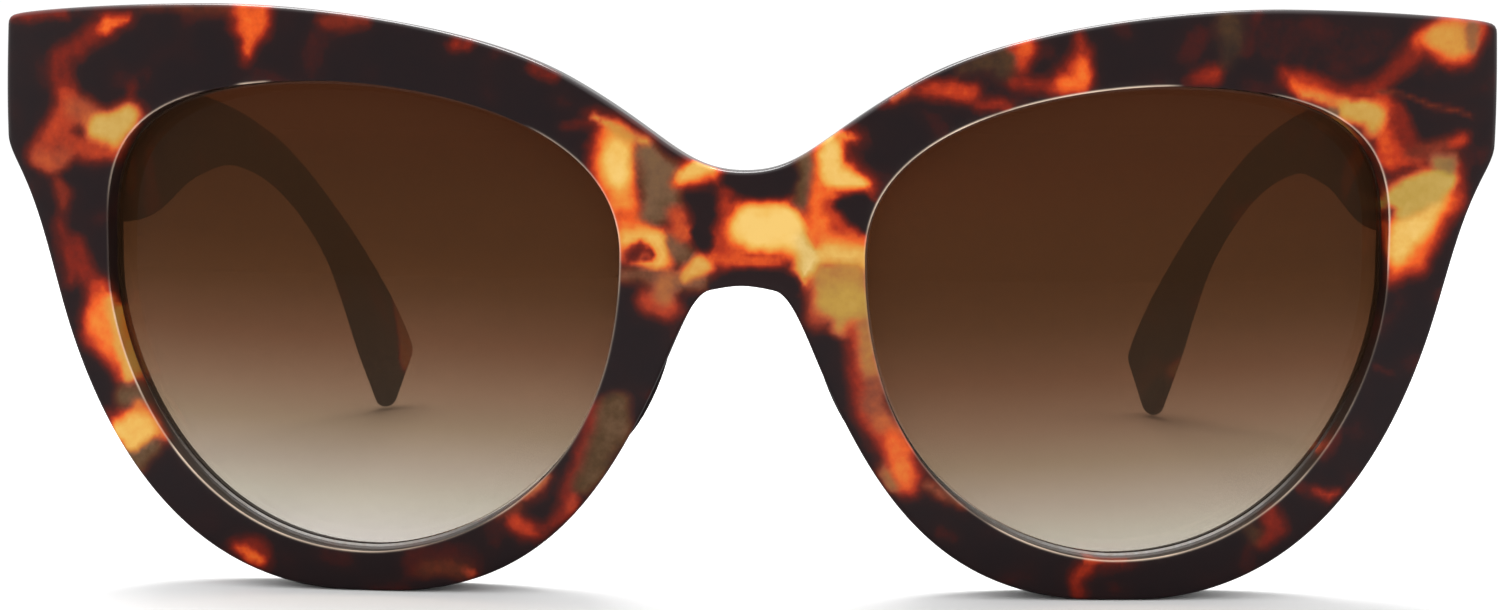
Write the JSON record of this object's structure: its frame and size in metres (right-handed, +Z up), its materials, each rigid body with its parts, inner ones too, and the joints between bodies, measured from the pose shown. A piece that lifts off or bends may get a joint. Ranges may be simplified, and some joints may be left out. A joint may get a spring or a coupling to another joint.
{
  "type": "cat eye sunglasses",
  "caption": "Thick acetate cat eye sunglasses with swept-up corners, curved gradient lenses and folding temples on five-barrel hinges.",
  "frame": {"origin": "middle of the bounding box on the table that the open glasses stand on", "axes": "+Z up, -Y the way the lenses face, +X towards the wearer's left"},
  "size_m": [0.146, 0.1383, 0.0572],
  "materials": {
    "front_acetate": "polished tortoise cellulose acetate",
    "temple_acetate": "polished tortoise cellulose acetate",
    "pad_acetate": "polished tortoise cellulose acetate",
    "lens_tint": "clear resin with a brown gradient tint",
    "core_steel": "drawn flat wire",
    "hinge_metal": "plated nickel silver",
    "screw_steel": "turned steel"
  },
  "bodies": {
    "front": {"front_frame": "front_acetate", "lens_left": "lens_tint", "lens_right": "lens_tint", "nose_pad_left": "pad_acetate", "nose_pad_right": "pad_acetate", "hinge_front_leaf_left": "hinge_metal", "hinge_front_leaf_right": "hinge_metal", "hinge_screw_left": "screw_steel", "hinge_screw_right": "screw_steel", "front_leaf_screw_lower_left": "screw_steel", "front_leaf_screw_upper_left": "screw_steel", "front_leaf_screw_lower_right": "screw_steel", "front_leaf_screw_upper_right": "screw_steel"},
    "left_arm": {"temple_left": "temple_acetate", "temple_core_left": "core_steel", "hinge_temple_leaf_left": "hinge_metal", "temple_leaf_screw_near_left": "screw_steel", "temple_leaf_screw_far_left": "screw_steel"},
    "right_arm": {"temple_right": "temple_acetate", "temple_core_right": "core_steel", "hinge_temple_leaf_right": "hinge_metal", "temple_leaf_screw_near_right": "screw_steel", "temple_leaf_screw_far_right": "screw_steel"}
  },
  "joints": [
    {"name": "left_temple_fold", "type": "hinge", "parent": "front", "child": "left_arm", "pos_m": [0.0657, -0.05605, 0.0485], "axis": [0, 0, 1], "range_deg": [0, 86]},
    {"name": "right_temple_fold", "type": "hinge", "parent": "front", "child": "right_arm", "pos_m": [-0.0657, -0.05605, 0.0485], "axis": [0, 0, -1], "range_deg": [0, 80]}
  ]
}
